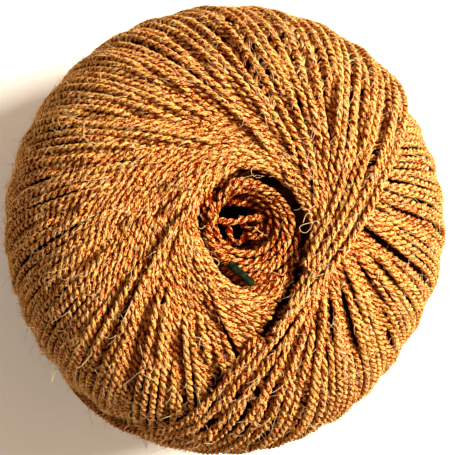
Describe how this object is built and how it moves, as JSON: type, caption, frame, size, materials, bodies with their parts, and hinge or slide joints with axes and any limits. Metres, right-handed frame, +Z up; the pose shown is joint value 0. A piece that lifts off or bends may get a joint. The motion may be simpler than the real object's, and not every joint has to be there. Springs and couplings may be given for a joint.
{
  "type": "ball of coir twine",
  "caption": "Machine-wound, centre-pull ball of two-ply natural twine, a rounded drum with a sunken mouth on top and its taped inner end lying in it.",
  "frame": {"origin": "centre of the flat spot that the ball rests on", "axes": "+Z up along the winding axis, out of the mouth; +Y is the top of the picture and +X its right"},
  "size_m": [0.1304, 0.1321, 0.0998],
  "materials": {
    "wound_twine": "rough, hairy, golden-brown plant fibre",
    "loose_twine": "rough, hairy, golden-brown plant fibre",
    "green_tape": "satin dark green tape"
  },
  "bodies": {
    "root": {"twine_ball": "wound_twine", "loose_end": "loose_twine", "end_tape": "green_tape"}
  },
  "joints": []
}
